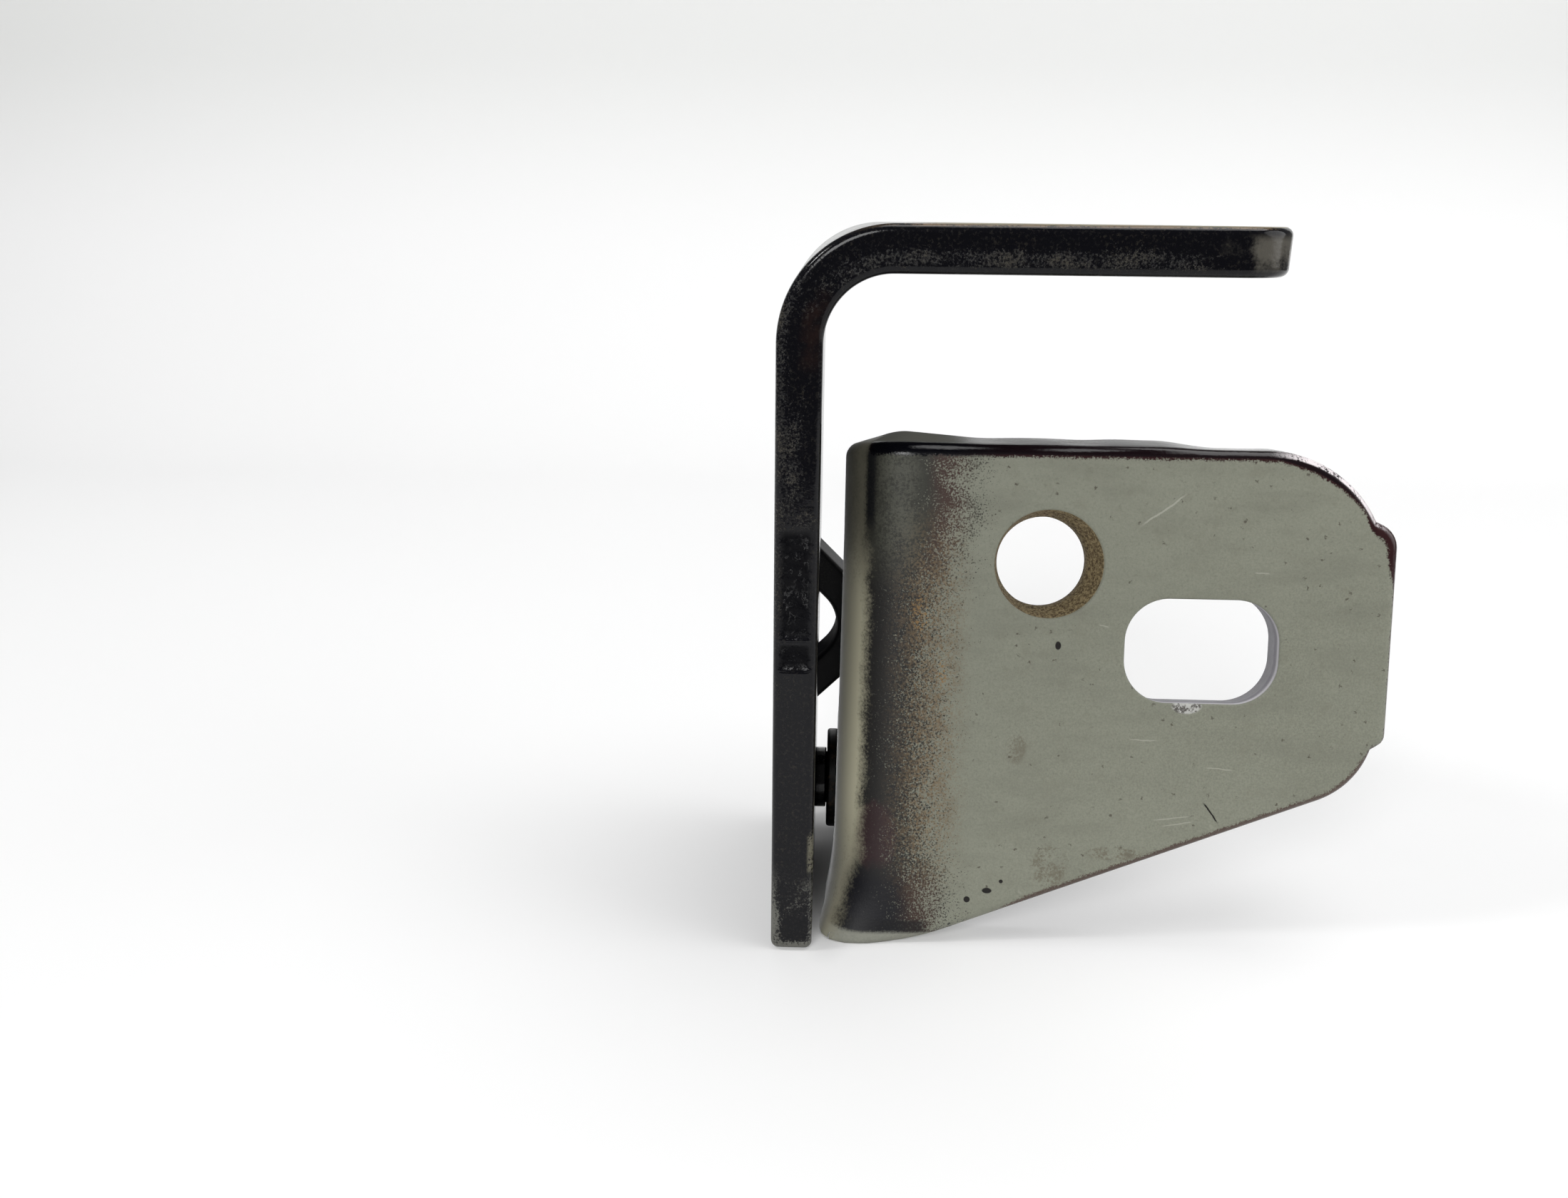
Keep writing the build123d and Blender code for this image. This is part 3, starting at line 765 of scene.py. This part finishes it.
# Gloss black on the rim, the back and the ear: a broad ragged band on top, a thin brown one elsewhere
on_bend_side = across.eased(-3.6, -4.8)
on_top = rise.eased(50.5, 58.5) * (1 - on_bend_side)
on_foot = across.eased(16.0, 8.0) * rise.eased(20.0, 14.0)
on_slope = rise.eased(27.0, 23.0)
land_corner = rise.eased(43.5, 50.0) * rise.eased(55.0, 53.0) * across.eased(53.0, 55.0)
upper_corner = across.window(44.0, 55.0, 5.0) * rise.eased(50.5, 52.5)
bare_edge = on_foot.larger(on_bend_side)
band = 0.3 + on_top * 0.8 + land_corner * 1.2 + upper_corner * 0.4 + on_slope * 0.55 - bare_edge * 1.1
edge = (rim - band + (grain - 0.5) * 1.1 + (mottle - 0.5) * 0.5).eased(0.2, -0.2)
painted = edge.larger(depth.eased(0.5, 1.0) * (1 - bare_edge * depth.eased(4.0, 3.0)))
back_dust = (fibres + cloud * 0.5).eased(0.72, 1.0) * depth.eased(1.5, 3.0)
black, black_rough, black_height = black_paint(plate_finish, back_dust * 0.35, srgb(112, 108, 90))
ragged = (rim - band).eased(-0.45, -0.1) * depth.eased(0.6, 0.3) * across.eased(3.0, 14.0)
brown_rim = (1 - on_top * 0.75) * depth.eased(1.6, 0.9) * (0.5 + mottle * 0.5)
brown_rim = (brown_rim * (1 - on_top * across.eased(14.0, 3.0))).larger(ragged * 0.8, land_corner * 0.8)
black = plate_finish.colour(brown_rim, black, srgb(56, 32, 33))
black = plate_finish.colour(on_slope * depth.eased(1.4, 0.6) * (0.4 + fibres), black, srgb(84, 70, 62))
colour = plate_finish.colour(painted, colour, black)
rough = 0.5 + (black_rough - 0.5) * painted

# Painted highlight: near-white colour along the upper corner's rounded rim, laid where the paint is worn
# through to steel; along the foot, a pale lip under a black line
corner_highlight = upper_corner * rim.window(0.0, 0.64, 0.2) * depth.eased(1.2, 0.8)
corner_highlight = corner_highlight * (fibres + (mottle - 0.5) * 0.8).eased(0.35, 0.5)
colour = plate_finish.colour(corner_highlight, colour, srgb(236, 228, 230))
above_foot = rise + across.eased(-3.0, -8.5) * -1.2 + (fibres - 0.5) * 0.8
black_foot = above_foot.window(0.9, 2.6, 0.6) * across.window(-5.5, 3.0, 2.0)
colour = plate_finish.colour(black_foot * 0.8, colour, srgb(14, 14, 17))
foot_lip = above_foot.eased(1.3, 0.7) * across.window(-9.5, 4.0, 3.0) * depth.eased(4.5, 3.5)
colour = plate_finish.colour(foot_lip * (0.6 + fibres * 0.5), colour, srgb(146, 147, 136))
rough = rough + foot_lip * 0.4

# Walls of the two bolt openings: rusty in the punched hole, bare steel in bands in the slot
in_wall = depth.eased(0.1, 0.3) * depth.eased(4.99, 4.9)
rust = in_wall * plate_finish.mark("round_hole").eased(1.4, 1.2)
rust_colour = plate_finish.colour(fibres.eased(0.35, 0.65), srgb(66, 53, 36), srgb(150, 134, 100))
colour = plate_finish.colour(rust, colour, rust_colour)
bare = in_wall * plate_finish.mark("slot").eased(0.95, 0.8)
bare_patches = plate_finish.noise(0.9, 3.0, 0.6)
bare_colour = plate_finish.colour(bare_patches, srgb(146, 145, 150), srgb(184, 183, 186))
bare_colour = plate_finish.colour(depth.window(0.2, 0.9, 0.4) * 0.8, bare_colour, srgb(206, 204, 208))
bare_colour = plate_finish.colour(depth.window(1.2, 2.1, 0.5) * 0.5, bare_colour, srgb(130, 128, 134))
colour = plate_finish.colour(bare, colour, bare_colour)
rough = rough + (0.8 - rough) * rust.larger(bare)

# Grey dust on top of the squeezed hump
on_hump = rise.eased(56.0, 58.5) * depth.eased(0.9, 1.6) * across.eased(9.0, 2.0)
hump_dust = on_hump * (0.4 + fibres * 0.8)
colour = plate_finish.colour(hump_dust, colour, srgb(98, 98, 89))
rough = rough + hump_dust * 0.7
height = wiped * 2.2 + fibres * 0.3 + grain * 0.4 * sprayed * (1 - painted)
height = height + black_height * 0.6 * painted - pits
height = height + rust * (mottle * 1.5 + fibres) + stroke(*LONG_SCRATCH, 0.5) * 0.8
plate_leaf.data.materials.append(
    plate_finish.surface(
        height,
        0.06,
        (pale * (1 - painted), pale_dust),
        Base_Color=colour,
        Roughness=rough,
        Specular_IOR_Level=0.27,
    )
)
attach(plate_leaf, "plate")
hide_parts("plate_leaf")


# Pivot: a turned steel pin, peened flush into the web and riveted over a washer behind the ear.
# It turns in two flanged bronze bushes that are pressed into the ear from both sides.
# Pin and washer are painted black. The bushes' near-black colour is painted shade for the gap they sit in,
# with tarnished bronze showing in patches.

BORE_RADIUS, BUSH_REACH = 3.55, 3.9
FLANGE_RADIUS, FLANGE_THICK = 6.7, 1.5
WASHER_THICK, WASHER_PLAY = 1.5, 0.1
COLLAR_RADIUS, COLLAR_THICK = 4.1, 1.4
HEAD_RADIUS, HEAD_THICK, HEAD_ROUND = 5.5, 2.5, 1.6
WASHER_START = EAR_X + SHEET + FLANGE_THICK + WASHER_PLAY
HEAD_START = WASHER_START + WASHER_THICK
PIN_END = HEAD_START + HEAD_THICK
PIN_SEGMENTS = 96


def turned(name, corners):
    """A piece turned about the pin's axis: the profile of (along, radius, rounding) corners, spun round."""
    profile = rounded_outline(corners, 0.4)
    angle = np.linspace(0, 2 * np.pi, PIN_SEGMENTS, endpoint=False)[:, None]
    x = np.broadcast_to(WEB_X + profile[:, 0], (PIN_SEGMENTS, len(profile)))
    y = PIVOT_Y + profile[:, 1] * np.cos(angle)
    z = PIVOT_Z + profile[:, 1] * np.sin(angle)
    faces = quads(PIN_SEGMENTS, len(profile), closed_columns=True)
    return mesh_piece(name, np.stack([x, y, z], 2).reshape(-1, 3), list(faces), {})


bush_profile = [
    (0.0, BORE_RADIUS, 0.1),
    (0.0, FLANGE_RADIUS, 0.4),
    (FLANGE_THICK, FLANGE_RADIUS, 0.4),
    (FLANGE_THICK, EYE_RADIUS, 0.1),
    (BUSH_REACH, EYE_RADIUS, 0.2),
    (BUSH_REACH, BORE_RADIUS, 0.1),
]
near_bush = turned("near_bush_turned", [(EAR_X - FLANGE_THICK + a, r, c) for a, r, c in bush_profile])
far_bush = turned("far_bush_turned", [(EAR_X + SHEET + FLANGE_THICK - a, r, c) for a, r, c in bush_profile])
washer = turned(
    "pin_washer_pressed",
    [
        (WASHER_START, PIN_RADIUS, 0.1),
        (WASHER_START, FLANGE_RADIUS, 0.3),
        (HEAD_START, FLANGE_RADIUS, 0.3),
        (HEAD_START, PIN_RADIUS, 0.1),
    ],
)
pin = turned(
    "hinge_pin_turned",
    [
        (0.0, 0.0, 0.0),
        (0.0, PEEN_RADIUS, 0.15),
        (PEEN_STEP, PIN_RADIUS, 0.1),
        (SHEET, PIN_RADIUS, 0.05),
        (SHEET, COLLAR_RADIUS, 0.1),
        (SHEET + COLLAR_THICK, COLLAR_RADIUS, 0.2),
        (SHEET + COLLAR_THICK, PIN_RADIUS, 0.1),
        (HEAD_START, PIN_RADIUS, 0.05),
        (HEAD_START, HEAD_RADIUS, 0.1),
        (PIN_END, HEAD_RADIUS, HEAD_ROUND),
        (PIN_END, 0.0, 0.0),
    ],
)
pin_finish = Finish("pin_black")
pin_dust = (pin_finish.noise(0.25, 3.0) + pin_finish.noise(4.0) * 0.5).eased(0.8, 1.1)
pin_colour, pin_rough, pin_height = black_paint(pin_finish, pin_dust * 0.4, srgb(112, 108, 90))
pin_black = pin_finish.surface(
    pin_height, 0.05, Base_Color=pin_colour, Roughness=pin_rough, Specular_IOR_Level=0.27
)
bush_finish = Finish("bush_bronze")
tarnish = bush_finish.noise(1.2, 4.0, 0.6)
# Painted shade: the bushes are coloured near-black, with bronze in patches where the tarnish pattern shows
bush_shade_colour = bush_finish.colour(tarnish.eased(0.5, 0.7), srgb(14, 13, 13), srgb(70, 56, 40))
bush_rough = 0.3 + tarnish * 0.3
bush_bronze = bush_finish.surface(tarnish, 0.02, Base_Color=bush_shade_colour, Roughness=bush_rough, Metallic=0.4)
for piece, node, body, finish, record_slot in (
    (pin, "hinge_pin", "arm", pin_black, "pin_paint"),
    (washer, "pin_washer", "arm", pin_black, "pin_paint"),
    (near_bush, "near_bush", "plate", bush_bronze, "bush_bronze"),
    (far_bush, "far_bush", "plate", bush_bronze, "bush_bronze"),
):
    piece.data.materials.append(finish)
    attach(piece, body)
    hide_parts(node)


# Studio: a plain pale sheet that sweeps from under the hinge up behind it, lit by soft lamps.
# It glows faintly to the camera and in reflections, as a pale background does, but not in the shaded
# gap between web and ear. The camera stands where the photograph was taken from.

COVE_FRONT, COVE_BACK, COVE_RISE, COVE_HALF = -230.0, 260.0, 340.0, 430.0
COVE_ROUND = 150.0
cove_turn = np.linspace(0, np.pi / 2, 33)
cove = np.vstack(
    [
        [(COVE_FRONT, 0.0)],
        np.stack([COVE_BACK + COVE_ROUND * np.sin(cove_turn), COVE_ROUND * (1 - np.cos(cove_turn))], 1),
        [(COVE_BACK + COVE_ROUND, COVE_RISE)],
    ]
)
cove_across = np.linspace(-COVE_HALF, COVE_HALF, 3)
cove_points = np.stack(
    [
        np.repeat(cove_across, len(cove)),
        np.tile(cove[:, 0], len(cove_across)),
        FOOT_Z + np.tile(cove[:, 1], len(cove_across)),
    ],
    1,
)
cove_mesh = bpy.data.meshes.new("studio_cove")
cove_mesh.from_pydata(cove_points * MM, [], quads(len(cove_across), len(cove), closed_rows=False).tolist())
cove_mesh.shade_smooth()
cove_piece = bpy.data.objects.new("studio_cove", cove_mesh)
bpy.context.scene.collection.objects.link(cove_piece)

GAP_X, GAP_Y = -25.0 * MM, 10.0 * MM
GAP_HALF_X, GAP_HALF_Y = 5.0 * MM, 20.0 * MM
cove_finish = Finish("studio_sheet")
cove_cloud = cove_finish.noise(300.0)
cove_colour = cove_finish.colour(cove_cloud, (0.7, 0.7, 0.7, 1.0), (0.73, 0.73, 0.73, 1.0))
rays = ("Is Camera Ray", "Is Glossy Ray", "Is Transmission Ray")
camera_ray, *other_rays = [cove_finish.node("ShaderNodeLightPath", output=ray) for ray in rays]
seen = camera_ray.larger(*other_rays)
place = {0: cove_finish.place}
cove_x, cove_y, cove_z = [cove_finish.node("ShaderNodeSeparateXYZ", {}, place, axis) for axis in "XYZ"]
from_gap_x = (cove_x - GAP_X) / GAP_HALF_X
from_gap_y = (cove_y - GAP_Y) / GAP_HALF_Y
off_gap = (from_gap_x * from_gap_x + from_gap_y * from_gap_y).eased(0.7, 1.9)
high_up = cove_z.eased(-0.02, 0.08)
cove_glow = cove_finish.colour(high_up, (0.19, 0.19, 0.19, 1.0), (0.12, 0.125, 0.115, 1.0))
cove_glow = cove_finish.colour(seen * off_gap, (0.0, 0.0, 0.0, 1.0), cove_glow)
cove_mesh.materials.append(
    cove_finish.surface(
        cove_cloud,
        0.01,
        Base_Color=cove_colour,
        Roughness=0.6,
        Specular_IOR_Level=0.2,
        Emission_Color=cove_glow,
        Emission_Strength=1.0,
    )
)

world = bpy.data.worlds.new("studio_light")
bpy.context.scene.world = world
world.use_nodes = True
world.node_tree.nodes["Background"].inputs["Color"].default_value = (1.0, 1.0, 1.0, 1.0)
world.node_tree.nodes["Background"].inputs["Strength"].default_value = 0.14

# Each lamp's place and width in metres, and its watts
LAMPS = {
    "key_softbox": ((-0.3, -0.9, 0.5), 0.5, 6.2),
    "top_softbox": ((0.22, 0.05, 0.8), 0.7, 4.4),
    "left_lamp": ((-0.45, -0.1, 0.45), 0.12, 1.0),
    "right_softbox": ((0.52, -0.1, 0.2), 0.5, 1.2),
}
LIT_POINT = Vector((0.0, 0.0, -0.045))
for name, (place, size, watts) in LAMPS.items():
    lamp = bpy.data.lights.new(name, "AREA")
    lamp.shape = "DISK"
    lamp.size = size
    lamp.energy = watts
    holder = bpy.data.objects.new(name, lamp)
    holder.location = place
    holder.rotation_euler = (LIT_POINT - Vector(place)).to_track_quat("-Z", "Y").to_euler()
    bpy.context.scene.collection.objects.link(holder)

# The camera, at the photograph's height and angle: focal length and image width in pixels give the lens
PHOTO_WIDTH, PHOTO_FOCAL = 2198, 1680
CAMERA_PLACE = np.array([-25.65, -140.98, 0.4])
PITCH, YAW, ROLL = np.radians((17.66, 2.1, 0.62))
forward = np.array([-np.sin(YAW) * np.cos(PITCH), np.cos(YAW) * np.cos(PITCH), -np.sin(PITCH)])
level = np.array([np.cos(YAW), np.sin(YAW), 0.0])
above = np.cross(level, forward)
right = np.cos(ROLL) * level + np.sin(ROLL) * above
top = np.cos(ROLL) * above - np.sin(ROLL) * level
turned_to = Matrix(np.column_stack([right, top, -forward]).tolist()).to_4x4()
lens = bpy.data.cameras.new("photo_view")
lens.sensor_width = 36.0
lens.lens = lens.sensor_width * PHOTO_FOCAL / PHOTO_WIDTH
lens.clip_start = 0.005
camera = bpy.data.objects.new("photo_view", lens)
camera.matrix_world = Matrix.Translation(CAMERA_PLACE * MM) @ turned_to
bpy.context.scene.collection.objects.link(camera)
bpy.context.scene.camera = camera
bpy.context.scene.view_settings.view_transform = "Standard"
